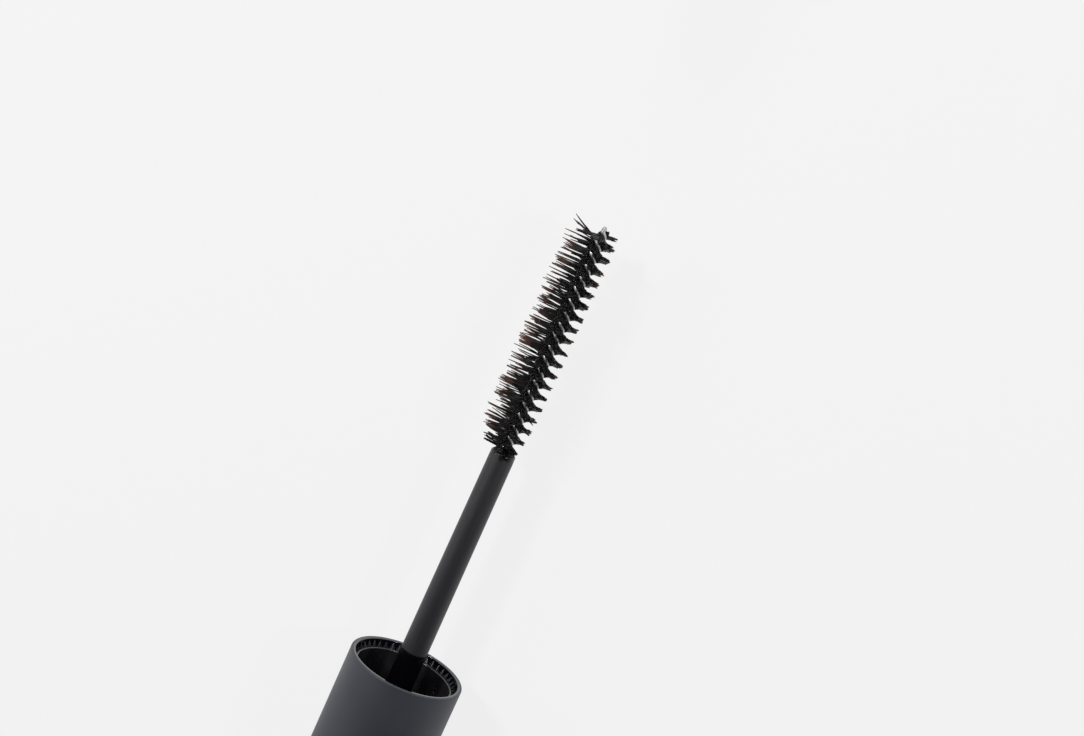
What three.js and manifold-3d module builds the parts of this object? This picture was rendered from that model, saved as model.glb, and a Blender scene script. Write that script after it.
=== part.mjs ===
// Mascara tube, drawn open: the applicator and its bottle lie in line on one axis.
// Millimetres. +X runs from the closed end of the cap, along the wand, to the base of the bottle, +Z is up.
// Every piece is drawn about the X axis in its closed place. The bottle group then moves out by PULL_TRAVEL.
import * as THREE from 'three';
import { mergeVertices } from 'three/addons/utils/BufferGeometryUtils.js';
import Module from 'manifold-3d';

// Barrel: the cap and the bottle have the same outer surface, with flats so that the tube lies still.
const BARREL_RADIUS = 7.5;
const BARREL_SIDES = 24;
const BORE_RADIUS = 6.9;
const BORE_SIDES = 48;
const CAP_LENGTH = 46;
const BOTTLE_LENGTH = 68;
const END_WALL = 1.6;
const END_ROUNDING = 0.7;
const RIM_ROUNDING = 0.15;
const CLOSED_GAP = 0.4;

// Screw closure: three starts, so that less than a turn frees the neck.
const THREAD_STARTS = 3;
const THREAD_LEAD = 7.5;
const THREAD_BASE_WIDTH = 1.0;
const THREAD_CREST_WIDTH = 0.5;
const THREAD_SUNK = 0.15;
const THREAD_TURNS = 0.5;
const PULL_TURNS = 15;
const PULL_TRAVEL = PULL_TURNS * THREAD_LEAD;

// Inner cap, pressed into the cap shell by its teeth.
const INNER_CAP_RECESS = 1.0;
const INNER_CAP_RADIUS = 6.45;
const INNER_CAP_FLOOR = 3;
const WELL_RADIUS = 6.2;
const WELL_DEPTH = 14;
const FEMALE_CREST_RADIUS = 5.8;
const TEETH = 44;
const TOOTH_TIP_RADIUS = 6.84;
const TEETH_LENGTH = 9;
const TOOTH_RAMP = 0.3;
const CROWN_HEIGHT = 0.8;
const BOSS_RADIUS = 1.78;
const BOSS_PROUD = 2.2;
const SOCKET_RADIUS = 1.1;
const PRESS_CLEARANCE = 0.03;

// Wand: a plastic stem that holds a twisted wire brush.
const STEM_ROOT_RADIUS = 1.71;
const STEM_TIP_RADIUS = 1.59;
const STEM_REACH = 30.4;
const TENON_LENGTH = 15;
const WIRE_HOLE_RADIUS = 0.8;
const WIRE_HOLE_DEPTH = 7;
const WIRE_RADIUS = 0.28;
const WIRE_OFFSET = 0.42;
const BRUSH_REACH = 60.4;
const FIRST_ROW_REACH = 30.85;
const ROW_SPACING = 1.53;
const WIRE_PITCH = 2 * ROW_SPACING;

// Bristles: a left-handed helicoid whose outline is a circle set off to the +Y side of the wire.
const BRISTLE_CIRCLE_RADIUS = 3.1;
const BRISTLE_CIRCLE_OFFSET = 1.1;
const BRISTLE_NOTCH = 0.62;
const BRISTLE_THICKNESS = 0.16;
const BRISTLE_STEPS_PER_TURN = 20;
const BRISTLE_ROOT_RADIUS = 0.85;

// Bottle: outer shell, threaded vial, soft wiper in the neck and the mascara on the vial's wall.
const NECK_RADIUS = 5.45;
const MALE_CREST_RADIUS = 6.0;
const NECK_BORE_RADIUS = 4.5;
const VIAL_RADIUS = 6.75;
const VIAL_WALL = 0.9;
const SHOULDER_THICKNESS = 1.4;
const SHOULDER_RECESS = 0.3;
const VIAL_BASE_GAP = 0.3;
const WIPER_FLANGE_RADIUS = 5.2;
const WIPER_FLANGE_THICKNESS = 0.5;
const WIPER_WALL = 0.5;
const WIPER_SLEEVE_LENGTH = 5.5;
const WIPER_CONE_LENGTH = 4.2;
const WIPER_LIP_LENGTH = 0.5;
const ORIFICE_RADIUS = 1.98;
const PASTE_HOLLOW_RADIUS = 4.6;
const PASTE_FLOOR = 2.2;
const WASHER_THICKNESS = 0.9;
const WASHER_OUTER_RADIUS = 5.6;
const WASHER_INNER_RADIUS = 2.1;
const RUNNING_GAP = 0.25;

// Places along the axis, worked out from the sizes above.
const mouthX = CAP_LENGTH;
const wellTopX = mouthX - INNER_CAP_RECESS;
const wellFloorX = wellTopX - WELL_DEPTH;
const bossEndX = mouthX + BOSS_PROUD;
const stemEndX = mouthX + STEM_REACH;
const firstRowX = mouthX + FIRST_ROW_REACH;
const brushEndX = mouthX + BRUSH_REACH;
const washerX = wellFloorX + RUNNING_GAP;
const neckTopX = washerX + WASHER_THICKNESS + RUNNING_GAP + WIPER_FLANGE_THICKNESS;
const bottleX = mouthX + CLOSED_GAP;
const shoulderX = bottleX + SHOULDER_RECESS;
const baseX = bottleX + BOTTLE_LENGTH;
const vialBaseX = baseX - END_WALL - VIAL_BASE_GAP;
const threadCentreX = (neckTopX + mouthX) / 2 - 1;

const capMaterial = new THREE.MeshStandardMaterial({ color: '#484b54', roughness: 0.62, metalness: 0 });
const glossBlackMaterial = new THREE.MeshStandardMaterial({ color: '#0b0b0e', roughness: 0.25, metalness: 0 });
const stemMaterial = new THREE.MeshStandardMaterial({ color: '#2b2b2f', roughness: 0.7, metalness: 0 });
const wireMaterial = new THREE.MeshStandardMaterial({ color: '#9a9ca0', roughness: 0.3, metalness: 1 });
const bristleMaterial = new THREE.MeshStandardMaterial({ color: '#16130f', roughness: 0.35, metalness: 0 });
const washerMaterial = new THREE.MeshStandardMaterial({ color: '#e4e4e0', roughness: 0.8, metalness: 0 });
const vialMaterial = new THREE.MeshStandardMaterial({ color: '#121215', roughness: 0.35, metalness: 0 });
const wiperMaterial = new THREE.MeshStandardMaterial({ color: '#d9d9d4', roughness: 0.55, metalness: 0 });
const pasteMaterial = new THREE.MeshStandardMaterial({ color: '#070605', roughness: 0.2, metalness: 0 });

const wasm = await Module();
wasm.setup();

// A closed geometry as a solid that can be joined and cut. Triangles that a lathe folds flat on its axis are left out.
function toSolid(geometry) {
  const bare = geometry.clone();
  bare.deleteAttribute('normal');
  bare.deleteAttribute('uv');
  const merged = mergeVertices(bare, 1e-4);
  const index = merged.index.array;
  const triangles = [];
  for (let i = 0; i < index.length; i += 3) {
    const [a, b, c] = [index[i], index[i + 1], index[i + 2]];
    if (a !== b && b !== c && c !== a) {
      triangles.push(a, b, c);
    }
  }
  const mesh = new wasm.Mesh({
    numProp: 3,
    vertProperties: Float32Array.from(merged.attributes.position.array),
    triVerts: Uint32Array.from(triangles),
  });
  return new wasm.Manifold(mesh);
}

function toGeometry(solid) {
  const mesh = solid.getMesh();
  const geometry = new THREE.BufferGeometry();
  geometry.setAttribute('position', new THREE.BufferAttribute(mesh.vertProperties, 3));
  geometry.setIndex(new THREE.BufferAttribute(mesh.triVerts, 1));
  geometry.computeVertexNormals();
  return geometry;
}

// Turns a profile of [x, radius] points about the X axis. The polygon has a flat at the bottom.
function turned(profile, sides) {
  const points = profile.map(([x, radius]) => new THREE.Vector2(radius, x));
  return new THREE.LatheGeometry(points, sides, Math.PI / sides).rotateZ(-Math.PI / 2);
}

// The corner radius of a polygon whose flats lie at the given radius.
function acrossFlats(radius, sides) {
  return radius / Math.cos(Math.PI / sides);
}

// Points of a quarter circle from [x0, r0] to [x1, r1] about [cx, cr], ends included.
function arc(cx, cr, radius, fromDegrees, toDegrees, steps) {
  return Array.from({ length: steps + 1 }, (_, i) => {
    const angle = THREE.MathUtils.degToRad(fromDegrees + ((toDegrees - fromDegrees) * i) / steps);
    return [cx + radius * Math.cos(angle), cr + radius * Math.sin(angle)];
  });
}

// A cap's triangles are a fan about the section's first corner, or on a sheet a zigzag between its two faces.
function capTriangle(i, count, isSheet) {
  if (!isSheet) {
    return [0, i, i + 1];
  }
  const step = Math.floor((i - 1) / 2);
  const far = count - 1 - step;
  return i % 2 === 1 ? [step, step + 1, far] : [step + 1, far - 1, far];
}

// A closed body from rings that all have the same number of points, with its two ends capped.
// A sheet's rings run along one face and back along the other, and both faces fold along the same diagonals.
function lofted(rings, isSheet = false) {
  const count = rings[0].length;
  const position = rings.flat().flatMap((point) => [point.x, point.y, point.z]);
  const index = [];
  for (let ring = 0; ring < rings.length - 1; ring += 1) {
    for (let i = 0; i < count; i += 1) {
      const a = ring * count + i;
      const b = ring * count + ((i + 1) % count);
      if (isSheet && i < count / 2) {
        index.push(a, b, b + count, a, b + count, a + count);
      } else {
        index.push(a, b, a + count, b, b + count, a + count);
      }
    }
  }
  const last = (rings.length - 1) * count;
  for (let i = 1; i < count - 1; i += 1) {
    const [a, b, c] = capTriangle(i, count, isSheet);
    index.push(a, c, b);
    index.push(last + a, last + b, last + c);
  }
  const geometry = new THREE.BufferGeometry();
  geometry.setAttribute('position', new THREE.Float32BufferAttribute(position, 3));
  geometry.setIndex(index);
  geometry.computeVertexNormals();
  return geometry;
}

// The ridges of a right-handed thread, centred at threadCentreX, each sunk a little into its wall.
function threadRidges(wallRadius, crestRadius, phase) {
  const outward = Math.sign(crestRadius - wallRadius);
  const sunkRadius = wallRadius - outward * THREAD_SUNK;
  const steps = Math.round(THREAD_TURNS * BORE_SIDES);
  const ridges = [];
  for (let start = 0; start < THREAD_STARTS; start += 1) {
    const rings = [];
    for (let i = 0; i <= steps; i += 1) {
      const turn = (i / steps - 0.5) * THREAD_TURNS;
      const angle = 2 * Math.PI * (turn + phase + start / THREAD_STARTS);
      const x = threadCentreX + turn * THREAD_LEAD;
      const height = i === 0 || i === steps ? 0.15 : 1;
      const crest = wallRadius + (crestRadius - wallRadius) * height;
      const section = [
        [x - THREAD_BASE_WIDTH / 2, sunkRadius],
        [x - THREAD_CREST_WIDTH / 2, crest],
        [x + THREAD_CREST_WIDTH / 2, crest],
        [x + THREAD_BASE_WIDTH / 2, sunkRadius],
      ];
      const ring = section.map(([px, r]) => new THREE.Vector3(px, r * Math.cos(angle), r * Math.sin(angle)));
      rings.push(outward > 0 ? ring.reverse() : ring);
    }
    ridges.push(toSolid(lofted(rings)));
  }
  return ridges;
}

// A barrel closed at one end. It is drawn with the closed end at x = 0 and the open rim at x = length.
function barrel(length) {
  const sides = BARREL_SIDES;
  const r = acrossFlats(BARREL_RADIUS, sides);
  const outside = [
    [0, 0],
    ...arc(END_ROUNDING, r - END_ROUNDING, END_ROUNDING, 180, 90, 3),
    [length - RIM_ROUNDING, r],
    [length, r - RIM_ROUNDING],
    [length, 0],
  ];
  const beyond = length + 1;
  const bore = [
    [END_WALL, 0],
    [END_WALL, BORE_RADIUS - END_ROUNDING],
    [END_WALL + END_ROUNDING, BORE_RADIUS],
    [beyond, BORE_RADIUS],
    [beyond, 0],
  ];
  return toGeometry(toSolid(turned(outside, sides)).subtract(toSolid(turned(bore, BORE_SIDES))));
}

// The outside of the inner cap: a plain plug whose front part carries teeth, which stand up past its rim as a crown.
// Each ring is [x, radius] between the teeth and [x, radius] at their tips.
function toothedPlug() {
  const backX = wellFloorX - INNER_CAP_FLOOR;
  const teethX = wellTopX - TEETH_LENGTH;
  const rimRadius = (WELL_RADIUS + INNER_CAP_RADIUS) / 2;
  const outline = [
    [[backX, INNER_CAP_RADIUS], [backX, INNER_CAP_RADIUS]],
    [[teethX, INNER_CAP_RADIUS], [teethX, INNER_CAP_RADIUS]],
    [[teethX + TOOTH_RAMP, INNER_CAP_RADIUS], [teethX + TOOTH_RAMP, TOOTH_TIP_RADIUS]],
    [[wellTopX, INNER_CAP_RADIUS], [wellTopX + CROWN_HEIGHT, TOOTH_TIP_RADIUS]],
    [[wellTopX, rimRadius], [wellTopX, rimRadius]],
  ];
  const rings = outline.map(([root, tip]) => Array.from({ length: 2 * TEETH }, (_, i) => {
    const [x, radius] = i % 2 === 0 ? tip : root;
    const angle = (Math.PI * i) / TEETH;
    return new THREE.Vector3(x, radius * Math.cos(angle), radius * Math.sin(angle));
  }));
  return lofted(rings);
}

function innerCap() {
  const well = [
    [wellFloorX, 0],
    [wellFloorX, WELL_RADIUS],
    [mouthX, WELL_RADIUS],
    [mouthX, 0],
  ];
  const boss = [
    [wellFloorX - INNER_CAP_FLOOR / 2, 0],
    [wellFloorX - INNER_CAP_FLOOR / 2, BOSS_RADIUS],
    [bossEndX - RIM_ROUNDING, BOSS_RADIUS],
    [bossEndX, BOSS_RADIUS - RIM_ROUNDING],
    [bossEndX, 0],
  ];
  const socketFloorX = bossEndX - TENON_LENGTH;
  const socket = [
    [socketFloorX, 0],
    [socketFloorX, SOCKET_RADIUS],
    [bossEndX + 1, SOCKET_RADIUS],
    [bossEndX + 1, 0],
  ];
  let solid = toSolid(toothedPlug());
  solid = solid.subtract(toSolid(turned(well, BORE_SIDES)));
  solid = solid.add(toSolid(turned(boss, BARREL_SIDES)));
  solid = solid.subtract(toSolid(turned(socket, BARREL_SIDES)));
  for (const ridge of threadRidges(WELL_RADIUS, FEMALE_CREST_RADIUS, 0.5 / THREAD_STARTS)) {
    solid = solid.add(ridge);
  }
  return toGeometry(solid);
}

function stem() {
  const tenonRadius = SOCKET_RADIUS - PRESS_CLEARANCE;
  const tenonX = bossEndX - TENON_LENGTH + 2 * PRESS_CLEARANCE;
  const shoulder = bossEndX + PRESS_CLEARANCE;
  const profile = [
    [tenonX, 0],
    [tenonX, tenonRadius],
    [shoulder, tenonRadius],
    [shoulder, STEM_ROOT_RADIUS],
    [stemEndX - RIM_ROUNDING, STEM_TIP_RADIUS],
    [stemEndX, STEM_TIP_RADIUS - RIM_ROUNDING],
    [stemEndX, WIRE_HOLE_RADIUS],
    [stemEndX - WIRE_HOLE_DEPTH, WIRE_HOLE_RADIUS],
    [stemEndX - WIRE_HOLE_DEPTH, 0],
  ];
  return turned(profile, BARREL_SIDES);
}

// The angle of the brush's twist at a place along the axis. It is zero, along +Y, at the first row.
function twistAngle(x) {
  return (-2 * Math.PI * (x - firstRowX)) / WIRE_PITCH;
}

// One wire folded in two: up one leg, round a half circle at the tip and down the other leg.
class HairpinCurve extends THREE.Curve {
  constructor(fromX, tipX) {
    super();
    this.fromX = fromX;
    this.legEndX = tipX - WIRE_OFFSET;
    this.arcLengthDivisions = 3000;
  }

  getPoint(t, target = new THREE.Vector3()) {
    const bend = 0.02;
    const leg = (1 - bend) / 2;
    const length = this.legEndX - this.fromX;
    if (t <= leg || t >= 1 - leg) {
      const along = t <= leg ? t / leg : (1 - t) / leg;
      const side = t <= leg ? 1 : -1;
      return this.place(this.fromX + length * along, side * WIRE_OFFSET, target);
    }
    const angle = (Math.PI * (t - leg)) / bend;
    target = this.place(this.legEndX, WIRE_OFFSET * Math.cos(angle), target);
    target.x += WIRE_OFFSET * Math.sin(angle);
    return target;
  }

  // A point square to the bristle plane, so that the bristles pass between the two legs.
  place(x, offset, target) {
    const angle = twistAngle(x) + Math.PI / 2;
    return target.set(x, offset * Math.cos(angle), offset * Math.sin(angle));
  }
}

function coreWire() {
  const wireSides = 6;
  const section = new THREE.Shape();
  for (let i = 0; i < wireSides; i += 1) {
    const angle = (2 * Math.PI * i) / wireSides;
    const corner = [WIRE_RADIUS * Math.cos(angle), WIRE_RADIUS * Math.sin(angle)];
    if (i === 0) {
      section.moveTo(...corner);
    } else {
      section.lineTo(...corner);
    }
  }
  const path = new HairpinCurve(stemEndX - WIRE_HOLE_DEPTH + RUNNING_GAP, brushEndX);
  return new THREE.ExtrudeGeometry(section, { steps: 250, extrudePath: path, bevelEnabled: false });
}

// How far the bristles reach from the wire's axis in a direction: a circle set off towards +Y.
function bristleReach(angle) {
  const along = BRISTLE_CIRCLE_OFFSET * Math.cos(angle);
  const across = BRISTLE_CIRCLE_OFFSET * Math.sin(angle);
  return along + Math.sqrt(BRISTLE_CIRCLE_RADIUS ** 2 - across ** 2);
}

// One row of bristles for every half turn of the wire, notched into tufts along both edges.
function bristles() {
  const fromX = stemEndX + RUNNING_GAP;
  const toX = brushEndX - 3 * WIRE_OFFSET;
  const steps = Math.round(((toX - fromX) / WIRE_PITCH) * BRISTLE_STEPS_PER_TURN);
  const twistPerMm = (2 * Math.PI) / WIRE_PITCH;
  const rings = [];
  for (let i = 0; i <= steps; i += 1) {
    const x = fromX + ((toX - fromX) * i) / steps;
    const angle = twistAngle(x);
    const notch = i % 2 === 0 ? 1 : BRISTLE_NOTCH;
    const stations = [
      bristleReach(angle) * notch,
      BRISTLE_ROOT_RADIUS,
      -BRISTLE_ROOT_RADIUS,
      -bristleReach(angle + Math.PI) * notch,
    ];
    const side = (offset) => stations.map((radius) => {
      const normal = new THREE.Vector3(radius * twistPerMm, -Math.sin(angle), Math.cos(angle)).normalize();
      const point = new THREE.Vector3(x, radius * Math.cos(angle), radius * Math.sin(angle));
      return point.addScaledVector(normal, offset);
    });
    rings.push([...side(BRISTLE_THICKNESS / 2), ...side(-BRISTLE_THICKNESS / 2).reverse()]);
  }
  return lofted(rings, true);
}

function sealingWasher() {
  const profile = [
    [washerX, WASHER_INNER_RADIUS],
    [washerX, WASHER_OUTER_RADIUS],
    [washerX + WASHER_THICKNESS, WASHER_OUTER_RADIUS],
    [washerX + WASHER_THICKNESS, WASHER_INNER_RADIUS],
    [washerX, WASHER_INNER_RADIUS],
  ];
  return turned(profile, BORE_SIDES);
}

function bottleShell() {
  const shell = barrel(BOTTLE_LENGTH);
  shell.rotateZ(Math.PI);
  shell.translate(baseX, 0, 0);
  return shell;
}

function innerVial() {
  const cavityRadius = VIAL_RADIUS - VIAL_WALL;
  const cavityX = shoulderX + SHOULDER_THICKNESS;
  const profile = [
    [vialBaseX - VIAL_WALL, 0],
    [vialBaseX - VIAL_WALL, cavityRadius],
    [cavityX + SHOULDER_THICKNESS, cavityRadius],
    [cavityX, NECK_BORE_RADIUS],
    [neckTopX, NECK_BORE_RADIUS],
    [neckTopX, NECK_RADIUS - RIM_ROUNDING],
    [neckTopX + RIM_ROUNDING, NECK_RADIUS],
    [shoulderX, NECK_RADIUS],
    [shoulderX, VIAL_RADIUS],
    [vialBaseX - END_ROUNDING, VIAL_RADIUS],
    [vialBaseX, VIAL_RADIUS - END_ROUNDING],
    [vialBaseX, 0],
  ];
  let solid = toSolid(turned(profile, BORE_SIDES));
  for (const ridge of threadRidges(NECK_RADIUS, MALE_CREST_RADIUS, 0)) {
    solid = solid.add(ridge);
  }
  return toGeometry(solid);
}

function wiper() {
  const topX = neckTopX - WIPER_FLANGE_THICKNESS;
  const sleeveEndX = topX + WIPER_SLEEVE_LENGTH;
  const coneEndX = sleeveEndX + WIPER_CONE_LENGTH;
  const lipX = coneEndX + WIPER_LIP_LENGTH;
  const outerRadius = NECK_BORE_RADIUS - 3 * PRESS_CLEARANCE;
  const innerRadius = outerRadius - WIPER_WALL;
  const flangeX = neckTopX - PRESS_CLEARANCE;
  const profile = [
    [topX, innerRadius],
    [topX, WIPER_FLANGE_RADIUS],
    [flangeX, WIPER_FLANGE_RADIUS],
    [flangeX, outerRadius],
    [sleeveEndX, outerRadius],
    [coneEndX, ORIFICE_RADIUS + WIPER_WALL],
    [lipX, ORIFICE_RADIUS + WIPER_WALL],
    [lipX, ORIFICE_RADIUS],
    [coneEndX, ORIFICE_RADIUS],
    [sleeveEndX, innerRadius],
    [topX, innerRadius],
  ];
  return turned(profile, BARREL_SIDES);
}

// The mascara clings to the vial's wall and fills its foot. The brush stands in the hollow that it leaves.
function mascaraPaste() {
  const outerRadius = VIAL_RADIUS - VIAL_WALL - 2 * PRESS_CLEARANCE;
  const startX = shoulderX + 3 * SHOULDER_THICKNESS;
  const endX = vialBaseX - VIAL_WALL - 2 * PRESS_CLEARANCE;
  const profile = [
    [endX - PASTE_FLOOR, 0],
    [endX - PASTE_FLOOR, PASTE_HOLLOW_RADIUS],
    [startX, PASTE_HOLLOW_RADIUS],
    [startX, outerRadius],
    [endX, outerRadius],
    [endX, 0],
  ];
  return turned(profile, BARREL_SIDES);
}

function piece(name, geometry, material) {
  const mesh = new THREE.Mesh(geometry, material);
  mesh.name = name;
  return mesh;
}

const applicator = new THREE.Group();
applicator.add(
  piece('cap_shell', barrel(CAP_LENGTH), capMaterial),
  piece('inner_cap', innerCap(), glossBlackMaterial),
  piece('stem', stem(), stemMaterial),
  piece('core_wire', coreWire(), wireMaterial),
  piece('bristles', bristles(), bristleMaterial),
  piece('sealing_washer', sealingWasher(), washerMaterial),
);

const bottle = new THREE.Group();
bottle.add(
  piece('bottle_shell', bottleShell(), capMaterial),
  piece('inner_vial', innerVial(), vialMaterial),
  piece('wiper', wiper(), wiperMaterial),
  piece('mascara_paste', mascaraPaste(), pasteMaterial),
);
bottle.position.x = PULL_TRAVEL;

// The origin lies on the surface under the middle of the open tube.
const mascaraTube = new THREE.Group();
mascaraTube.add(applicator, bottle);
mascaraTube.position.set(-(baseX + PULL_TRAVEL) / 2, 0, BARREL_RADIUS);

export default mascaraTube;
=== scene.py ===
"""Mascara tube, drawn open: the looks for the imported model. Lengths are in millimetres until mesh_object."""
import math
import random

import bpy
from mathutils import Matrix, Vector, noise


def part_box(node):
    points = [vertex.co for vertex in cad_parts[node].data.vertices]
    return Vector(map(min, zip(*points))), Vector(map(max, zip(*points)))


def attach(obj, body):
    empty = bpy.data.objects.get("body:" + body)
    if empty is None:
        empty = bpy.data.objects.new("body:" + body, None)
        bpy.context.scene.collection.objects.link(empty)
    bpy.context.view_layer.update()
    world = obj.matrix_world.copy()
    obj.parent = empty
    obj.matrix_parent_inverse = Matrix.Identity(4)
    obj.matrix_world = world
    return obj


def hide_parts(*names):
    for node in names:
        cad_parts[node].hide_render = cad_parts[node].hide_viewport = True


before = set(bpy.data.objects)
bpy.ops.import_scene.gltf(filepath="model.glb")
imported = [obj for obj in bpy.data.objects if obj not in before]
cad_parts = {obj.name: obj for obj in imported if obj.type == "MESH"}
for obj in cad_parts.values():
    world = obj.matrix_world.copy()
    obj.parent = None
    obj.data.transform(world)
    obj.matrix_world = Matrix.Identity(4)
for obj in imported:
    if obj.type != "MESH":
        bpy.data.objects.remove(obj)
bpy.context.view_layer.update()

MM = 0.001


def node_span(node):
    """Where a node starts and ends along X, in millimetres."""
    low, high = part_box(node)
    return low.x / MM, high.x / MM


# Places along the tube's axis, and the axis's height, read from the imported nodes
AXIS_Z = (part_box("cap_shell")[0].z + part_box("cap_shell")[1].z) / 2 / MM
CAP_X, MOUTH_X = node_span("cap_shell")
INNER_CAP_X, BOSS_END_X = node_span("inner_cap")
STEM_X, STEM_END_X = node_span("stem")
WIRE_X, BRUSH_END_X = node_span("core_wire")
WASHER_X, WASHER_END_X = node_span("sealing_washer")
BOTTLE_X, BASE_X = node_span("bottle_shell")
NECK_TOP_X, VIAL_BASE_X = node_span("inner_vial")
WIPER_X, LIP_X = node_span("wiper")
PASTE_X, PASTE_END_X = node_span("mascara_paste")

# Barrel of the cap and of the bottle
BARREL_RADIUS = 7.5
BORE_RADIUS = 6.9
END_WALL = 1.6
END_ROUNDING = 0.7
RIM_ROUNDING = 0.2
RIM_CHAMFER = 0.32
CHAMFER_DEPTH = 0.13 * RIM_CHAMFER

# Inner cap
LINER_TOP_X = MOUTH_X - 1
WELL_FLOOR_X = LINER_TOP_X - 14
TEETH_X = LINER_TOP_X - 9
LINER_RADIUS = 6.45
WELL_RADIUS = 6.2
TEETH = 44
TOOTH_HEIGHT = 0.4
CROWN_HEIGHT = 0.85
TOOTH_POINTS = 8
BOSS_RADIUS = 1.73
SOCKET_RADIUS = 1.1
SOCKET_GAP = 0.03

# Stem and wire
STEM_ROOT_RADIUS = 1.71
STEM_TIP_RADIUS = 1.59
WIRE_HOLE_RADIUS = 0.75
WIRE_HOLE_DEPTH = 2
WIRE_RADIUS = 0.28
WIRE_OFFSET = 0.42

# Brush. Its rows are half a turn of the twisted wire apart.
ROW_SPACING = 1.53
FIRST_ROW_X = MOUTH_X + 30.85
BRUSH_X = STEM_END_X + 0.35
LONG_END_X = BRUSH_END_X - 1.2
SHORT_END_X = BRUSH_END_X - 1
ROWS = round((BRUSH_END_X - FIRST_ROW_X) / ROW_SPACING)
TWIST_PER_MM = -math.pi / ROW_SPACING
REACH_RADIUS = 3.1
REACH_OFFSET = 1.1
ROOT_RADIUS = 0.3
FIBRE_RADIUS = 0.078
LEAN_TO_STEM = 0.07
LONG_SIDE_HALF = math.radians(62)
LONG_CLUMPS = 7
SHORT_CLUMPS = 11

# Bottle
NECK_RADIUS = 5.45
NECK_BORE_RADIUS = 4.5
VIAL_RADIUS = 6.75
VIAL_WALL = 0.9
CAVITY_RADIUS = VIAL_RADIUS - VIAL_WALL
SHOULDER_X = BOTTLE_X + 0.3
WASHER_RADIUS = 5.6
WASHER_HOLE_RADIUS = 2.1
WIPER_WALL = 0.5
WIPER_GAP = 0.09
FLANGE_RADIUS = 5.2
FLANGE_THICKNESS = 0.47
LIP_RADIUS = 1.98
PASTE_GAP = 0.08

# Screw thread. THREAD_X is its middle on the bottle where it lies now. Closing moves it by PULL_TRAVEL.
THREAD_STARTS = 3
THREAD_LEAD = 7.5
THREAD_TURNS = 0.5
MALE_CREST_RADIUS = 6.0
FEMALE_CREST_RADIUS = 5.8
PULL_TURNS = 15
PULL_TRAVEL = PULL_TURNS * THREAD_LEAD
THREAD_X = (NECK_TOP_X + MOUTH_X + PULL_TRAVEL) / 2 - 1

# Camera. It looks down on the wand and leans from the upright towards the brush.
CAMERA_TARGET_X = MOUTH_X + 41.9
CAMERA_DISTANCE = 219.7
CAMERA_LEAN = math.radians(11.34)
CAMERA_ROLL = math.radians(24.3)
FOCAL_LENGTH = 60.4


# ---------------------------------------------------------------- mesh helpers

def mesh_object(name, vertices, faces, material, sharp_degrees=50):
    """A piece from vertices in millimetres about the tube's axis: x along it, y and z across it."""
    mesh = bpy.data.meshes.new(name)
    placed = [(x * MM, y * MM, (z + AXIS_Z) * MM) for x, y, z in vertices]
    mesh.from_pydata(placed, [], faces)
    mesh.validate()
    mesh.polygons.foreach_set("use_smooth", [True] * len(mesh.polygons))
    mesh.set_sharp_from_angle(angle=math.radians(sharp_degrees))
    mesh.materials.append(material)
    piece = bpy.data.objects.new(name, mesh)
    bpy.context.scene.collection.objects.link(piece)
    return piece


def rounded(points, steps=5):
    """A profile with its corners rounded. Each point is (x, radius) or (x, radius, rounding)."""
    outline = []
    for i, point in enumerate(points):
        corner = Vector(point[:2])
        if len(point) == 2 or i in (0, len(points) - 1):
            outline.append(corner)
            continue
        before = Vector(points[i - 1][:2])
        after = Vector(points[i + 1][:2])
        start = corner + (before - corner).normalized() * point[2]
        end = corner + (after - corner).normalized() * point[2]
        for k in range(steps + 1):
            t = k / steps
            outline.append((1 - t) ** 2 * start + 2 * t * (1 - t) * corner + t * t * end)
    return outline


def revolve(name, profile, material, segments=96, swell=None, inside=None, inside_from=0):
    """Turns a profile about the axis. swell(index, turn) adds to a profile point's place and radius.

    From the profile's point inside_from on, the faces have the material inside.
    """
    vertices = []
    rings = []
    for index, (x, radius) in enumerate(profile):
        if radius < 1e-6:
            rings.append([len(vertices)])
            vertices.append((x, 0, 0))
            continue
        ring = []
        for j in range(segments):
            turn = j / segments
            along, out = swell(index, turn) if swell else (0, 0)
            ring.append(len(vertices))
            vertices.append(tuple(around(x + along, radius + out, 2 * math.pi * turn)))
        rings.append(ring)
    faces = []
    outside_faces = 0
    for index, (a, b) in enumerate(zip(rings, rings[1:])):
        if index == inside_from:
            outside_faces = len(faces)
        for j in range(segments):
            k = (j + 1) % segments
            if len(a) == 1 and len(b) > 1:
                faces.append((a[0], b[k], b[j]))
            elif len(b) == 1 and len(a) > 1:
                faces.append((a[j], a[k], b[0]))
            elif len(a) > 1:
                faces.append((a[j], a[k], b[k], b[j]))
    piece = mesh_object(name, vertices, faces, material)
    if inside:
        piece.data.materials.append(inside)
        for polygon in piece.data.polygons[outside_faces:]:
            polygon.material_index = 1
    return piece


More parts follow.
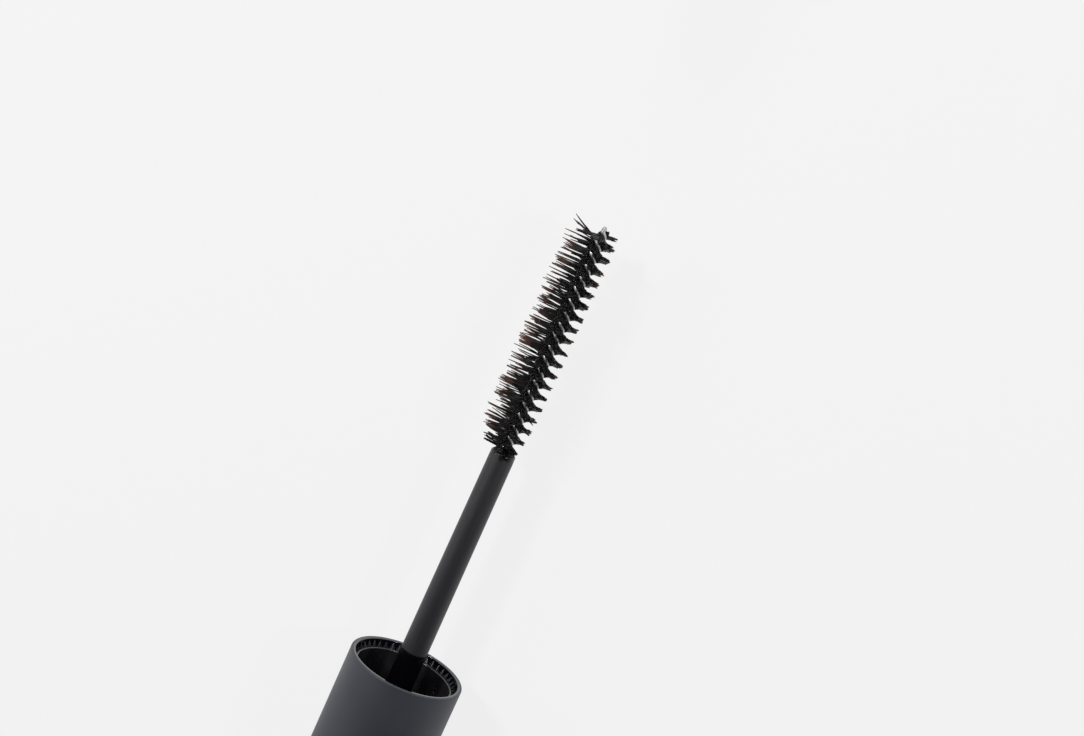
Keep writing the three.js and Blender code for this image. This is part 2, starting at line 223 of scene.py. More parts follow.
class Tubes:
    """Collects many tubes in one mesh."""

    def __init__(self, sides):
        self.sides = sides
        self.vertices = []
        self.faces = []

    def add(self, points, radii):
        """One tube along points, with a radius for each point and both ends closed."""
        first = len(self.vertices)
        side = None
        for i, point in enumerate(points):
            ahead = points[min(i + 1, len(points) - 1)] - points[max(i - 1, 0)]
            tangent = ahead.normalized()
            if side is None:
                side = tangent.orthogonal().normalized()
            side = (side - tangent * side.dot(tangent)).normalized()
            other = tangent.cross(side)
            for j in range(self.sides):
                angle = 2 * math.pi * j / self.sides
                out = side * math.cos(angle) + other * math.sin(angle)
                self.vertices.append(tuple(point + out * radii[i]))
        for i in range(len(points) - 1):
            a = first + i * self.sides
            for j in range(self.sides):
                k = (j + 1) % self.sides
                self.faces.append((a + j, a + k, a + self.sides + k, a + self.sides + j))
        last = first + (len(points) - 1) * self.sides
        self.faces.append(tuple(first + j for j in reversed(range(self.sides))))
        self.faces.append(tuple(last + j for j in range(self.sides)))

    def piece(self, name, material):
        """The tubes as one piece."""
        return mesh_object(name, self.vertices, self.faces, material, sharp_degrees=80)


def smooth(low, high, value):
    """0 below low, 1 above high, and an even curve between them."""
    t = min(max((value - low) / (high - low), 0), 1)
    return t * t * (3 - 2 * t)


def around(x, radius, angle):
    """A point at a radius and an angle from +Y towards +Z."""
    return Vector((x, radius * math.cos(angle), radius * math.sin(angle)))


def wrapped(angle):
    """The same direction as an angle between -pi and pi."""
    return (angle + math.pi) % (2 * math.pi) - math.pi


# ---------------------------------------------------------------- materials

def new_material(name, color=None, roughness=None):
    """A material with its node tree, its shader and its object coordinates."""
    material = bpy.data.materials.new(name)
    material.use_nodes = True
    tree = material.node_tree
    shader = tree.nodes["Principled BSDF"]
    if color:
        shader.inputs["Base Color"].default_value = (*color, 1)
    if roughness is not None:
        shader.inputs["Roughness"].default_value = roughness
    place = tree.nodes.new("ShaderNodeTexCoord").outputs["Object"]
    return material, tree, shader, place


def noise_node(tree, place, scale, detail, roughness=0.5):
    """Noise from 0 to 1. The scale is in cells per metre."""
    node = tree.nodes.new("ShaderNodeTexNoise")
    node.inputs["Scale"].default_value = scale
    node.inputs["Detail"].default_value = detail
    node.inputs["Roughness"].default_value = roughness
    tree.links.new(place, node.inputs["Vector"])
    return node.outputs["Fac"]


def ramp(tree, value, low, high, start=0.3, end=0.7):
    """Maps a value from start to end onto two colours or two grey levels."""
    node = tree.nodes.new("ShaderNodeValToRGB")
    for element, position, color in zip(node.color_ramp.elements, (start, end), (low, high)):
        element.position = position
        element.color = (*color, 1) if isinstance(color, tuple) else (color, color, color, 1)
    tree.links.new(value, node.inputs["Fac"])
    return node.outputs["Color"]


def roughened(tree, length, ragged, spread):
    """A length with noise of up to spread millimetres added, so that a border along it is ragged."""
    node = tree.nodes.new("ShaderNodeMath")
    node.operation = "MULTIPLY_ADD"
    tree.links.new(ragged, node.inputs[0])
    node.inputs[1].default_value = spread * MM
    tree.links.new(length, node.inputs[2])
    return node.outputs[0]


def share(tree, length, low, high):
    """0 where a length is under low millimetres, 1 where it is over high, and even steps between."""
    node = tree.nodes.new("ShaderNodeMapRange")
    node.inputs["From Min"].default_value = low * MM
    node.inputs["From Max"].default_value = high * MM
    tree.links.new(length, node.inputs["Value"])
    return node.outputs[0]


def vector_node(tree, operation, vector, other=(0, 0, 0)):
    """The outputs of a step of vector maths on a vector, with a fixed second one."""
    node = tree.nodes.new("ShaderNodeVectorMath")
    node.operation = operation
    tree.links.new(vector, node.inputs[0])
    node.inputs[1].default_value = other
    return node.outputs


def bump(tree, shader, height, strength, distance):
    """Relief on the shader from a height of up to distance millimetres."""
    node = tree.nodes.new("ShaderNodeBump")
    node.inputs["Strength"].default_value = strength
    node.inputs["Distance"].default_value = distance * MM
    tree.links.new(height, node.inputs["Height"])
    tree.links.new(node.outputs["Normal"], shader.inputs["Normal"])


def soft_touch():
    """Blue-grey plastic under a matte soft-touch lacquer, with fine grain and faint handling marks."""
    material, tree, shader, place = new_material("soft_touch")
    marks = noise_node(tree, place, 90, 4, 0.6)
    color = ramp(tree, marks, (0.036, 0.040, 0.053), (0.045, 0.050, 0.064))
    tree.links.new(color, shader.inputs["Base Color"])
    tree.links.new(ramp(tree, marks, 0.46, 0.58), shader.inputs["Roughness"])
    grain = noise_node(tree, place, 9000, 2, 0.5)
    bump(tree, shader, grain, 0.25, 0.02)
    return material


def gloss_black(name, color, specular=0.5, roughness=0.22):
    """Polished black moulding with slight waviness."""
    material, tree, shader, place = new_material(name, color)
    shader.inputs["Specular IOR Level"].default_value = specular
    waves = noise_node(tree, place, 500, 2)
    tree.links.new(ramp(tree, waves, 0.8 * roughness, 1.4 * roughness), shader.inputs["Roughness"])
    bump(tree, shader, waves, 0.15, 0.03)
    return material


def smeared(tree, smear, bare):
    """A bare colour, turning to mascara's black as smear goes from 0 to 1."""
    factor = 0
    first_color = 6
    second_color = 7
    node = tree.nodes.new("ShaderNodeMix")
    node.data_type = "RGBA"
    node.inputs[second_color].default_value = (0.003, 0.003, 0.003, 1)
    tree.links.new(smear, node.inputs[factor])
    tree.links.new(bare, node.inputs[first_color])
    return node.outputs[2]


def stem_plastic():
    """Satin dark grey rod with fine lengthwise drawing lines, and mascara smeared over its end."""
    material, tree, shader, place = new_material("stem_plastic")
    stretch = tree.nodes.new("ShaderNodeMapping")
    stretch.inputs["Scale"].default_value = (0.06, 1, 1)
    tree.links.new(place, stretch.inputs["Vector"])
    lines = noise_node(tree, stretch.outputs["Vector"], 3500, 3)
    bare = ramp(tree, lines, (0.021, 0.021, 0.025), (0.027, 0.027, 0.032))
    split = tree.nodes.new("ShaderNodeSeparateXYZ")
    tree.links.new(place, split.inputs[0])
    along = roughened(tree, split.outputs["X"], noise_node(tree, place, 900, 2), 1.6)
    smear = share(tree, along, STEM_END_X + 0.05, STEM_END_X + 0.35)
    tree.links.new(smeared(tree, smear, bare), shader.inputs["Base Color"])
    tree.links.new(ramp(tree, smear, 0.5, 0.2, 0, 1), shader.inputs["Roughness"])
    bump(tree, shader, lines, 0.3, 0.015)
    return material


def steel_wire():
    """Drawn steel wire, stained by mascara."""
    material, tree, shader, place = new_material("steel_wire")
    shader.inputs["Metallic"].default_value = 1
    stain = noise_node(tree, place, 1500, 4, 0.6)
    color = ramp(tree, stain, (0.55, 0.55, 0.56), (0.04, 0.036, 0.034), 0.54, 0.68)
    tree.links.new(color, shader.inputs["Base Color"])
    tree.links.new(ramp(tree, stain, 0.38, 0.5), shader.inputs["Roughness"])
    return material


def bristle_nylon():
    """Brown nylon, blackened by mascara near the wire and barer towards the tips of the two sides."""
    material, tree, shader, place = new_material("bristle_nylon", roughness=0.45)
    shader.inputs["Specular IOR Level"].default_value = 0.3
    middle = (0, 0.45 * REACH_OFFSET * MM, AXIS_Z * MM)
    from_middle = vector_node(tree, "SUBTRACT", place, middle)[0]
    sideways = vector_node(tree, "MULTIPLY", from_middle, (0, 1, 0.4))[0]
    distance = vector_node(tree, "LENGTH", sideways)["Value"]
    patchy = roughened(tree, distance, noise_node(tree, place, 900, 3, 0.6), 2.4)
    bare = share(tree, patchy, REACH_RADIUS - 0.2, REACH_RADIUS + 1.6)
    color = ramp(tree, bare, (0.005, 0.003, 0.003), (0.12, 0.052, 0.036), 0.05, 0.9)
    tree.links.new(color, shader.inputs["Base Color"])
    bump(tree, shader, noise_node(tree, place, 9000, 2), 0.4, 0.03)
    return material


def wet_mascara():
    """Thick wet mascara: black, glossy and lumpy, so that it sparkles."""
    material, tree, shader, place = new_material("wet_mascara", (0.003, 0.0027, 0.0025))
    shader.inputs["Specular IOR Level"].default_value = 0.25
    lumps = noise_node(tree, place, 3400, 3, 0.7)
    tree.links.new(ramp(tree, lumps, 0.06, 0.25), shader.inputs["Roughness"])
    bump(tree, shader, lumps, 1.0, 0.4)
    return material


def foam():
    """Pale foam with open cells."""
    material, tree, shader, place = new_material("foam", (0.72, 0.72, 0.69), 0.85)
    cells = tree.nodes.new("ShaderNodeTexVoronoi")
    cells.inputs["Scale"].default_value = 3500
    tree.links.new(place, cells.inputs["Vector"])
    bump(tree, shader, cells.outputs["Distance"], 0.5, 0.1)
    return material


def wiper_rubber():
    """Milky soft plastic, smeared with mascara."""
    material, tree, shader, place = new_material("wiper_rubber")
    smears = noise_node(tree, place, 450, 4, 0.6)
    color = ramp(tree, smears, (0.62, 0.62, 0.59), (0.02, 0.018, 0.016), 0.52, 0.6)
    tree.links.new(color, shader.inputs["Base Color"])
    tree.links.new(ramp(tree, smears, 0.5, 0.25), shader.inputs["Roughness"])
    return material


# ---------------------------------------------------------------- cap

def barrel_profile(length):
    """A tube closed at x = 0 and open at x = length."""
    return rounded([
        (0, 0),
        (0, BARREL_RADIUS, END_ROUNDING),
        (length, BARREL_RADIUS, RIM_ROUNDING),
        (length, BORE_RADIUS + RIM_CHAMFER, 0.04),
        (length - CHAMFER_DEPTH, BORE_RADIUS, 0.08),
        (END_WALL, BORE_RADIUS, END_ROUNDING),
        (END_WALL, 0),
    ])


def inside_start(profile):
    """The point of a barrel's profile where the rim turns in to the bore and the paint ends."""
    paint_edge = BORE_RADIUS + RIM_CHAMFER
    outside_end = max(i for i, (_, radius) in enumerate(profile) if radius == BARREL_RADIUS)
    return next(i for i in range(outside_end, len(profile)) if profile[i][1] < paint_edge) - 1


def make_barrel(name, closed_x, open_x, paint, plastic):
    """A barrel that is painted outside and bare plastic inside."""
    direction = math.copysign(1, open_x - closed_x)
    profile = [(closed_x + direction * x, r) for x, r in barrel_profile(abs(open_x - closed_x))]
    return revolve(name, profile, paint, 192, inside=plastic, inside_from=inside_start(profile))


def tooth(turn):
    """The height of a pointed tooth: 1 at its tip and 0 at its roots."""
    return abs(2 * ((turn * TEETH) % 1) - 1)


def make_inner_cap(material, boss_shade_material):
    """The threaded liner. Its teeth grip the shell and stand up past its rim as a crown; its boss is drawn in
    painted shade.
    """
    outline = rounded([
        (INNER_CAP_X, 0),
        (INNER_CAP_X, LINER_RADIUS),
        (TEETH_X, LINER_RADIUS),
        (TEETH_X + 0.3, LINER_RADIUS),
        (LINER_TOP_X - 0.1, LINER_RADIUS),
        (LINER_TOP_X - 0.08, LINER_RADIUS),
        (LINER_TOP_X - 0.06, LINER_RADIUS),
        (LINER_TOP_X, LINER_RADIUS - 0.02),
        (LINER_TOP_X, WELL_RADIUS, 0.14),
        (WELL_FLOOR_X, WELL_RADIUS, 0.3),
        (WELL_FLOOR_X, BOSS_RADIUS, 0.4),
        (BOSS_END_X, BOSS_RADIUS, 0.06),
        (BOSS_END_X, SOCKET_RADIUS),
        (STEM_X - 2 * SOCKET_GAP, SOCKET_RADIUS),
        (STEM_X - 2 * SOCKET_GAP, 0),
    ])
    # Four of these points carry the teeth. At a tooth's tip each rises and stands out by this much.
    teeth_start = 3
    crown_tip = 4
    crown_back = 5
    valley = 6
    lifts = {
        teeth_start: (0, TOOTH_HEIGHT),
        crown_tip: (CROWN_HEIGHT, TOOTH_HEIGHT),
        crown_back: (0.35 * CROWN_HEIGHT, 0.6 * TOOTH_HEIGHT),
        valley: (-0.3, 0.2 * TOOTH_HEIGHT),
    }

    def swell(index, turn):
        rise, out = lifts.get(index, (0, 0))
        return rise * tooth(turn), out * tooth(turn)

    well_middle = (WELL_RADIUS + BOSS_RADIUS) / 2
    # From here on, the boss and its socket take a darker, barely reflective copy of the liner's black: painted
    # shade.
    boss_start = next(i for i, (_, radius) in enumerate(outline) if i > valley and radius < well_middle)
    segments = TEETH * TOOTH_POINTS
    return revolve("inner_cap_visual", outline, material, segments, swell, boss_shade_material, boss_start)


def make_thread(name, wall_radius, crest_radius, centre_x, phase, material):
    """The ridges of the screw thread, rounded in section and fading out at both ends."""
    ridges = Tubes(12)
    steps = 60
    fade_share = 0.12
    end_size = 0.35
    height = crest_radius - wall_radius
    for start in range(THREAD_STARTS):
        points = []
        radii = []
        for i in range(steps + 1):
            turn = (i / steps - 0.5) * THREAD_TURNS
            fade = smooth(0, fade_share, i / steps) * smooth(0, fade_share, 1 - i / steps)
            angle = 2 * math.pi * (turn + phase + start / THREAD_STARTS)
            size = abs(height) * (end_size + (1 - end_size) * fade)
            middle = crest_radius - math.copysign(size, height) - height * (1 - fade) * 0.6
            points.append(around(centre_x + turn * THREAD_LEAD, middle, angle))
            radii.append(size)
        ridges.add(points, radii)
    return ridges.piece(name, material)


# ---------------------------------------------------------------- wand

def make_stem(material):
    """The rod, with a thinner spigot in the boss and a hole for the wire in its end."""
    profile = rounded([
        (STEM_X, 0),
        (STEM_X, SOCKET_RADIUS - SOCKET_GAP),
        (BOSS_END_X + SOCKET_GAP, SOCKET_RADIUS - SOCKET_GAP),
        (BOSS_END_X + SOCKET_GAP, STEM_ROOT_RADIUS, 0.3),
        (STEM_END_X, STEM_TIP_RADIUS, 0.25),
        (STEM_END_X, WIRE_HOLE_RADIUS, 0.1),
        (STEM_END_X - WIRE_HOLE_DEPTH, WIRE_HOLE_RADIUS),
        (STEM_END_X - WIRE_HOLE_DEPTH, 0),
    ])
    return revolve("stem_visual", profile, material)


def twist(x):
    """The angle of the bristle plane at a place along the brush."""
    return TWIST_PER_MM * (x - FIRST_ROW_X)


def make_wire(material):
    """One wire folded in two at the tip, its legs twisted round each other."""
    wire = Tubes(12)
    leg_end = BRUSH_END_X - WIRE_OFFSET - WIRE_RADIUS
    leg_steps = 420
    bend_steps = 10
    leg = [WIRE_X + (leg_end - WIRE_X) * i / leg_steps for i in range(leg_steps + 1)]
    points = [around(x, WIRE_OFFSET, twist(x) + math.pi / 2) for x in leg]
    for i in range(1, bend_steps):
        angle = math.pi * i / bend_steps
        bend = around(leg_end, WIRE_OFFSET * math.cos(angle), twist(leg_end) + math.pi / 2)
        bend.x += WIRE_OFFSET * math.sin(angle)
        points.append(bend)
    points += [around(x, WIRE_OFFSET, twist(x) - math.pi / 2) for x in reversed(leg)]
    wire.add(points, [WIRE_RADIUS] * len(points))
    return wire.piece("core_wire_visual", material)


def reach(angle):
    """How far bristles stand out in a direction. The brush's outline is a circle set off towards +Y."""
    across = REACH_OFFSET * math.sin(angle)
    circle = REACH_OFFSET * math.cos(angle) + math.sqrt(REACH_RADIUS ** 2 - across ** 2)
    # The short side is trimmed flatter than a circle, so it has two corners.
    corner = math.exp(-((abs(wrapped(angle)) - 2.5) / 0.3) ** 2)
    return circle * (1 + 0.14 * corner)


def long_side(angle):
    """1 where the bristles are long, towards +Y, and 0 where they are short."""
    return 0.5 + 0.5 * math.cos(angle)


def row_place(row, angle):
    """Where a row's bristles leave the wire in a direction. A row goes once round, from the short side."""
    return FIRST_ROW_X + ROW_SPACING * (row - angle / math.pi)


def row_reach(x):
    """Bristles are trimmed shorter near the stem."""
    return 0.72 + 0.28 * smooth(-0.3, 2.6, (x - FIRST_ROW_X) / ROW_SPACING)


def fibre(fibres, rng, x, angle, tip_x, tip_angle, tip, wet):
    """One bristle from the wire to its tip. wet is how far out the mascara covers it."""
    steps = 10
    coat_thickness = 0.07
    bead_length = 0.22
    points = []
    radii = []
    curl = rng.gauss(0, 0.06)
    bead_place = rng.uniform(1.1, 3.4)
    bead_size = rng.choice((0, 0, 0.04, 0.07))
    for k in range(steps + 1):
        u = k / steps
        r = ROOT_RADIUS + (tip - ROOT_RADIUS) * u
        bend = u ** 1.3
        points.append(around(x + (tip_x - x) * bend + curl * u * u, r, angle + (tip_angle - angle) * bend))
        coat = coat_thickness * (1 - smooth(0.55 * wet, wet, r))
        bead = bead_size * math.exp(-((r - bead_place) / bead_length) ** 2)
        taper = 1 - 0.45 * smooth(0.75, 1, u)
        radii.append(FIBRE_RADIUS * taper + (coat + bead))
    fibres.add(points, radii)


def long_clump(fibres, rng, row, angle):
    """Bristles of the long side that cling together side by side."""
    size = rng.choice((1, 1, 1, 2, 2, 2, 3, 4))
    x = row_place(row, angle)
    gather = -0.3 * angle * ROW_SPACING / math.pi
    tip_x = x + gather + rng.gauss(0, 0.13) + rng.uniform(-0.05, 0.25)
    tip_angle = 0.5 * angle + rng.gauss(0, 0.07)
    length = row_reach(x) * rng.choice((1, 1, 1, 1, 0.98, 0.96, 0.88, 0.78, 0.66))
    wet = rng.choice((1.2, 1.6, 2.0, 2.6, 3.0))
    gap = rng.uniform(0.06, 0.15)
    for j in range(size):
        step = j - (size - 1) / 2
        own_angle = angle - 0.1 * step
        own_tip = tip_angle + rng.gauss(0, 0.03)
        tip = reach(own_tip) * length * rng.gauss(1, 0.02)
        fibre(fibres, rng, row_place(row, own_angle), own_angle, tip_x + gap * step, own_tip, tip, wet)


def ragged_clump(fibres, rng, row):
    """A few short bristles of the long side, matted with mascara."""
    angle = rng.uniform(-1.1, 1.1)
    x = row_place(row, angle)
    if not BRUSH_X < x < LONG_END_X:
        return
    lean = rng.gauss(0.05, 0.12)
    for j in range(rng.choice((2, 3, 4))):
        own_angle = angle - 0.12 * j
        tip = rng.uniform(1.5, 2.9) * row_reach(x)
        tip_x = x + lean * tip + rng.gauss(0, 0.07)
        fibre(fibres, rng, row_place(row, own_angle), own_angle, tip_x, own_angle * 0.8, tip, tip)


def short_clump(fibres, rng, row, angle):
    """Bristles that mascara draws together to one ragged point."""
    size = rng.choice((3, 4, 5))
    x = row_place(row, angle)
    front = abs(math.sin(angle))
    lean = rng.gauss(0.01, 0.035) - LEAN_TO_STEM * front
    tip_angle = angle + rng.gauss(0, 0.04)
    for j in range(size):
        step = j - (size - 1) / 2
        own_angle = angle - 0.09 * step
        own_tip = tip_angle - 0.035 * step
        tip = reach(own_tip) * row_reach(x) * min(rng.gauss(1.0, 0.07), 1.1)
        tip_x = row_place(row, own_tip) + lean * tip + rng.gauss(0, 0.1)
        fibre(fibres, rng, row_place(row, own_angle), own_angle, tip_x, own_tip, tip, tip)


def make_bristles(material):
    """Rows of bristles, each a turn of a helix: open clumps on the long side, webs on the short side."""
    rng = random.Random(11)
    fibres = Tubes(6)
    short_side = 2 * math.pi - 2 * LONG_SIDE_HALF
    for row in range(-1, ROWS + 2):
        for i in range(LONG_CLUMPS):
            angle = LONG_SIDE_HALF * (2 * (i + 0.5) / LONG_CLUMPS - 1) + rng.gauss(0, 0.07)
            if BRUSH_X < row_place(row, angle) < LONG_END_X:
                long_clump(fibres, rng, row, angle)
        if rng.choice((False, True)):
            ragged_clump(fibres, rng, row)
        for i in range(SHORT_CLUMPS):
            angle = wrapped(LONG_SIDE_HALF + short_side * (i + 0.5) / SHORT_CLUMPS + rng.gauss(0, 0.03))
            if BRUSH_X < row_place(row, angle) < SHORT_END_X:
                short_clump(fibres, rng, row, angle)
    # Stray bristles that splay out past the last row: how far short of the end, direction and length.
    for back, angle, tip in ((0.05, 0.25, 3.9), (0.12, 0.3, 3.6), (0.6, 0.1, 3.9), (0.8, -0.2, 3.2)):
        fibre(fibres, rng, BRUSH_END_X - 1.7, angle, BRUSH_END_X - back, angle * 0.7, tip, 1.8)
    return fibres.piece("bristles_visual", material)


def coat_reach(angle, x):
    """How far out the mascara fills the space between bristles."""
    bare = 0.74 * long_side(angle) ** 2
    fade = 0.4 + 0.6 * smooth(0.9, 2.2, BRUSH_END_X - x)
    return reach(angle) * row_reach(x) * (0.97 - bare) * fade


def coat_width(r, angle):
    """The web's thickness along the axis: thick at the wire, thin at its edge."""
    thin = 0.26 + 0.12 * abs(math.sin(angle))
    thick = 0.92 - 0.5 * long_side(angle) ** 2
    return thin + (thick - thin) * (1 - smooth(0.65, 1.75, r))


def coat_ring(x, half):
    """The web's section at a place along the brush: out along one face and back along the other."""
    steps = 14
    inner = 0.2
    turn = twist(x) + half
    angle = wrapped(turn)
    # Streaks run out along the bristles, so they depend on the turn alone.
    broad = noise.noise(Vector((turn * 2.0, 5 * half, 3.1)))
    streak = noise.noise(Vector((turn * 7.5, 5 * half, 1.5)))
    edge = coat_reach(angle, x) * (0.94 + 0.1 * broad + 0.26 * streak)
    lean = -LEAN_TO_STEM * abs(math.sin(angle)) + 0.03 * broad
    ring = []
    for side, outward in ((1, range(steps + 1)), (-1, reversed(range(steps + 1)))):
        for k in outward:
            u = k / steps
            r = inner + (edge - inner) * u
            lumps = noise.noise(Vector((turn * 4.0, r * 3.5, 9 * half + 20 * side)))
            fine = noise.noise(Vector((turn * 11.0, r * 9.0, 9 * half + 20 * side)))
            width = coat_width(r, angle) * (1 + 0.22 * lumps + 0.2 * streak)
            width *= math.sqrt(max(1 - u ** 8, 0.02))
            place_x = x + lean * max(r - 0.7, 0) + side * (width / 2 + 0.03 * fine)
            ring.append(tuple(around(place_x, r + 0.03 * fine, turn)))
    return ring


def make_mascara_coat(material):
    """Mascara that fills the roots of the bristles: two webs that wind round the wire, with ragged edges."""
    steps_per_row = 64
    start_x = BRUSH_X - 0.2
    end_x = BRUSH_END_X - 0.9
    steps = round((end_x - start_x) / ROW_SPACING * steps_per_row)
    vertices = []
    faces = []
    for half in (0, math.pi):
        first = len(vertices)
        for i in range(steps + 1):
            ring = coat_ring(start_x + (end_x - start_x) * i / steps, half)
            vertices += ring
        size = len(ring)
        for i in range(steps):
            a = first + i * size
            for j in range(size):
                k = (j + 1) % size
                faces.append((a + j, a + size + j, a + size + k, a + k))
        last = first + steps * size
        faces.append(tuple(first + j for j in range(size)))
        faces.append(tuple(last + j for j in reversed(range(size))))
    return mesh_object("mascara_coat", vertices, faces, material, sharp_degrees=180)


def make_collar(material):
    """Mascara that has gathered where the brush leaves the stem."""
    profile = rounded([
        (STEM_END_X - 0.5, 0.6),
        (STEM_END_X - 0.1, 1.35),
        (STEM_END_X + 0.12, 1.38, 0.1),
        (STEM_END_X + 0.3, 1.1, 0.2),
        (STEM_END_X + 0.7, 0.75, 0.2),
        (STEM_END_X + 1.3, 0.5),
    ], 8)

    def swell(index, turn):
        x, radius = profile[index]
        lumps = noise.noise(around(x * 1.6, 2.2, 2 * math.pi * turn))
        return 0.1 * lumps, 0.22 * lumps * smooth(0.5, 1.0, radius)

    return revolve("mascara_collar", profile, material, swell=swell)


# ---------------------------------------------------------------- bottle

def make_washer(material):
    """The foam ring that seals the neck."""
    profile = rounded([
        (WASHER_X, WASHER_HOLE_RADIUS),
        (WASHER_X, WASHER_RADIUS, 0.15),
        (WASHER_END_X, WASHER_RADIUS, 0.15),
        (WASHER_END_X, WASHER_HOLE_RADIUS, 0.15),
        (WASHER_X, WASHER_HOLE_RADIUS),
    ])
    return revolve("sealing_washer_visual", profile, material)


def make_vial(material):
    """The vial: a neck, a shoulder that the shell covers, and a cavity closed at the base."""
    profile = rounded([
        (VIAL_BASE_X - VIAL_WALL, 0),
        (VIAL_BASE_X - VIAL_WALL, CAVITY_RADIUS, 0.5),
        (SHOULDER_X + 2.8, CAVITY_RADIUS, 0.3),
        (SHOULDER_X + 1.4, NECK_BORE_RADIUS, 0.3),
        (NECK_TOP_X, NECK_BORE_RADIUS, 0.12),
        (NECK_TOP_X, NECK_RADIUS, 0.2),
        (SHOULDER_X, NECK_RADIUS, 0.25),
        (SHOULDER_X, VIAL_RADIUS, 0.15),
        (VIAL_BASE_X, VIAL_RADIUS, 0.7),
        (VIAL_BASE_X, 0),
    ])
    return revolve("inner_vial_visual", profile, material, 128)


def make_wiper(material):
    """A flange on the neck, a sleeve in its bore, and a cone down to the lip that wipes the stem."""
    outer = NECK_BORE_RADIUS - WIPER_GAP
    inner = outer - WIPER_WALL
    flange_end = WIPER_X + FLANGE_THICKNESS
    sleeve_end = WIPER_X + 5.5
    cone_end = LIP_X - 0.5
    profile = rounded([
        (WIPER_X, inner),
        (WIPER_X, FLANGE_RADIUS, 0.15),
        (flange_end, FLANGE_RADIUS, 0.1),
        (flange_end, outer, 0.1),
        (sleeve_end, outer, 0.4),
        (cone_end, LIP_RADIUS + WIPER_WALL, 0.2),
        (LIP_X, LIP_RADIUS + WIPER_WALL, 0.15),
        (LIP_X, LIP_RADIUS, 0.15),
        (cone_end, LIP_RADIUS, 0.2),
        (sleeve_end, inner, 0.4),
        (WIPER_X, inner),
    ])
    return revolve("wiper_visual", profile, material)


def make_paste(material):
    """Mascara on the vial's wall and in its foot, with an uneven surface towards the brush."""
    outer = CAVITY_RADIUS - PASTE_GAP
    hollow_end = PASTE_END_X - 2.2
    foot_radius = 4.6
    top_radius = 4.9
    profile = rounded([
        (hollow_end, 0),
        (hollow_end, foot_radius, 0.8),
        (PASTE_X, top_radius, 0.3),
        (PASTE_X, outer, 0.2),
        (PASTE_END_X, outer, 0.3),
        (PASTE_END_X, 0),
    ], 4)

    def swell(index, turn):
        x, radius = profile[index]
        if not 1 < radius < top_radius + 0.3:
            return 0, 0
        return 0, 0.2 * noise.noise(around(x * 0.4, 2, 2 * math.pi * turn))

    return revolve("mascara_paste_visual", profile, material, swell=swell)


# ---------------------------------------------------------------- build

soft_touch_plastic = soft_touch()
bare_plastic = gloss_black("bare_plastic", (0.004, 0.005, 0.011), 1.0, 0.09)
inner_black = gloss_black("inner_cap_gloss", (0.014, 0.013, 0.016), 0.9)
# The boss deep in the cap gets a darker, almost unreflective copy of the liner's black: painted shade where
# the cap's mouth shadows it, not a different plastic.
boss_painted_shade = gloss_black("boss_painted_shade", (0.002, 0.002, 0.003), 0.03)
vial_black = gloss_black("vial_gloss", (0.006, 0.006, 0.007))
nylon = bristle_nylon()
mascara = wet_mascara()

# Each piece with the body that it rides on, the nodes that it replaces and its colour slot.
PIECES = [
    (make_barrel("cap_shell_visual", CAP_X, MOUTH_X, soft_touch_plastic, bare_plastic),
     "applicator", ["cap_shell"], "cap_plastic"),
    (make_inner_cap(inner_black, boss_painted_shade), "applicator", ["inner_cap"], "inner_cap_plastic"),
    (make_thread("inner_cap_thread", WELL_RADIUS, FEMALE_CREST_RADIUS, THREAD_X - PULL_TRAVEL,
                 0.5 / THREAD_STARTS, inner_black), "applicator", [], "inner_cap_plastic"),
    (make_stem(stem_plastic()), "applicator", ["stem"], "stem_plastic"),
    (make_wire(steel_wire()), "applicator", ["core_wire"], "wire"),
    (make_bristles(nylon), "applicator", ["bristles"], "bristle_nylon"),
    (make_mascara_coat(mascara), "applicator", [], "mascara"),
    (make_collar(mascara), "applicator", [], "mascara"),
    (make_washer(foam()), "washer", ["sealing_washer"], "washer_foam"),
    (make_barrel("bottle_shell_visual", BASE_X, BOTTLE_X, soft_touch_plastic, bare_plastic),
     "bottle", ["bottle_shell"], "cap_plastic"),
    (make_vial(vial_black), "bottle", ["inner_vial"], "vial_plastic"),
    (make_thread("neck_thread", NECK_RADIUS, MALE_CREST_RADIUS, THREAD_X, 0, vial_black),
     "bottle", [], "vial_plastic"),
    (make_wiper(wiper_rubber()), "bottle", ["wiper"], "wiper_rubber"),
    (make_paste(mascara), "bottle", ["mascara_paste"], "mascara"),
]
for made, body, nodes, slot in PIECES:
    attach(made, body)
    if nodes:
        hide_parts(*nodes)


# ---------------------------------------------------------------- studio

def make_floor():
    """A pale light table, bright enough that nothing throws a clear shadow on it."""
    half = 3000 * MM
    drop = 0.02 * MM
    mesh = bpy.data.meshes.new("floor")
    corners = [(-half, -half, 0), (half, -half, 0), (half, half, 0), (-half, half, 0)]
    mesh.from_pydata(corners, [], [(0, 1, 2, 3)])
    floor = bpy.data.objects.new("floor", mesh)
    bpy.context.scene.collection.objects.link(floor)
    floor.location.z = -drop
    material, _, shader, _ = new_material("floor_paper", (0.12, 0.12, 0.12), 0.9)
    shader.inputs["Emission Color"].default_value = (1, 1, 1, 1)
    shader.inputs["Emission Strength"].default_value = 0.815
    shader.inputs["Specular IOR Level"].default_value = 0
    mesh.materials.append(material)


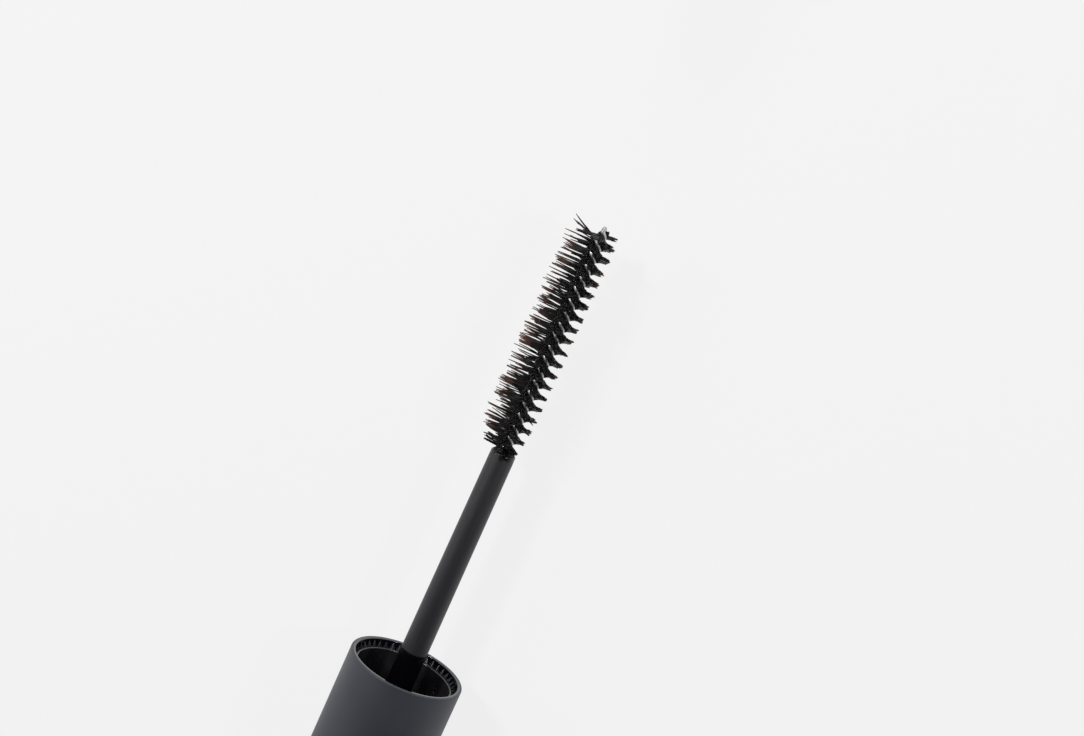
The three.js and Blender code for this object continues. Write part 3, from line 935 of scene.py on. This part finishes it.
def area_light(name, place, size, power):
    """A square lamp that points at the brush. Its place is counted from the table under the mouth."""
    light = bpy.data.lights.new(name, "AREA")
    light.shape = "SQUARE"
    light.size = size * MM
    light.energy = power
    lamp = bpy.data.objects.new(name, light)
    bpy.context.scene.collection.objects.link(lamp)
    start = Vector((MOUTH_X + place[0], place[1], place[2]))
    brush_middle = Vector((MOUTH_X + 40, 0, AXIS_Z))
    lamp.location = start * MM
    lamp.rotation_euler = (brush_middle - start).to_track_quat("-Z", "Y").to_euler()


def make_world():
    """A room that is pale at the height of the table and dark overhead."""
    world = bpy.data.worlds.new("studio")
    world.use_nodes = True
    bpy.context.scene.world = world
    tree = world.node_tree
    direction = tree.nodes.new("ShaderNodeTexCoord").outputs["Generated"]
    split = tree.nodes.new("ShaderNodeSeparateXYZ")
    tree.links.new(direction, split.inputs[0])
    sky = ramp(tree, split.outputs["Z"], 0.7, 0.03, 0.05, 0.6)
    background = tree.nodes["Background"]
    tree.links.new(sky, background.inputs["Color"])


def make_camera():
    """The camera, rolled so that the wand leans across the picture."""
    data = bpy.data.cameras.new("camera")
    data.lens = FOCAL_LENGTH
    data.sensor_width = 36
    data.clip_start = 0.01
    data.clip_end = 50
    camera = bpy.data.objects.new("camera", data)
    bpy.context.scene.collection.objects.link(camera)
    back = Vector((math.sin(CAMERA_LEAN), 0, math.cos(CAMERA_LEAN)))
    up = (Vector((1, 0, 0)) - back * back.x).normalized()
    right = up.cross(back)
    turned_up = up * math.cos(CAMERA_ROLL) - right * math.sin(CAMERA_ROLL)
    turned_right = turned_up.cross(back)
    matrix = Matrix((turned_right, turned_up, back)).transposed().to_4x4()
    matrix.translation = (Vector((CAMERA_TARGET_X, 0, AXIS_Z)) + back * CAMERA_DISTANCE) * MM
    camera.matrix_world = matrix
    bpy.context.scene.camera = camera


make_floor()
make_world()
make_camera()
area_light("key", (20, 420, 260), 130, 0.25)
area_light("right", (160, -300, 330), 60, 0.38)
area_light("spark", (190, 250, 330), 50, 0.75)
area_light("front", (480, 60, 220), 160, 0.5)
bpy.context.scene.view_settings.view_transform = "Standard"
